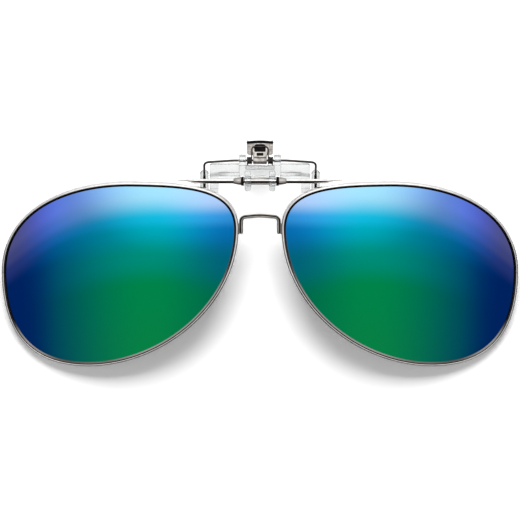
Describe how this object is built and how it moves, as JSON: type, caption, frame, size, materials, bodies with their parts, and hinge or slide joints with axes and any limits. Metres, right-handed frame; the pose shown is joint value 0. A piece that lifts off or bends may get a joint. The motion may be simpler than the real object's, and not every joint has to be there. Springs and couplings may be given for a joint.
{
  "type": "flip-up clip-on sunglasses",
  "caption": "Pilot-shaped clip-on sunglasses with mirrored lenses in thin metal rims that flip up on a sprung clear clip with a finger lever.",
  "frame": {"origin": "on the table under the middle of the whole part, which lies on its back", "axes": "+X across the frame, +Y to the brow, +Z out of the lens fronts"},
  "size_m": [0.1356, 0.0596, 0.0111],
  "materials": {
    "mirror_lens": "green-blue mirror coating on a tinted plastic lens",
    "silver_metal": "bright plated silver metal",
    "bright_steel": "bright spring steel",
    "clear_plastic": "clear moulded plastic",
    "clear_vinyl": "soft clear vinyl"
  },
  "bodies": {
    "clip": {"clip_base": "clear_plastic", "detent_leaf": "bright_steel"},
    "front": {"rim_left": "silver_metal", "rim_right": "silver_metal", "lens_left": "mirror_lens", "lens_right": "mirror_lens", "closing_block_upper_left": "silver_metal", "closing_block_lower_left": "silver_metal", "closing_screw_left": "bright_steel", "closing_block_upper_right": "silver_metal", "closing_block_lower_right": "silver_metal", "closing_screw_right": "bright_steel", "hinge_collar_left": "silver_metal", "hinge_collar_right": "silver_metal", "brow_bar": "silver_metal", "nose_bridge": "silver_metal"},
    "jaw": {"wire_jaw": "bright_steel", "jaw_sleeve_left": "clear_vinyl", "jaw_sleeve_right": "clear_vinyl", "lever": "bright_steel", "jaw_spring": "bright_steel"}
  },
  "joints": [
    {"name": "flip", "type": "hinge", "parent": "clip", "child": "front", "pos_m": [0, 0.01998, 0.0082], "axis": [-1, 0, 0], "range_deg": [0, 90]},
    {"name": "jaw_open", "type": "hinge", "parent": "clip", "child": "jaw", "pos_m": [0, 0.02473, 0.0044], "axis": [1, 0, 0], "range_deg": [0, 25], "stiffness_Nm_per_rad": 0.01, "springref_deg": -45.84}
  ]
}
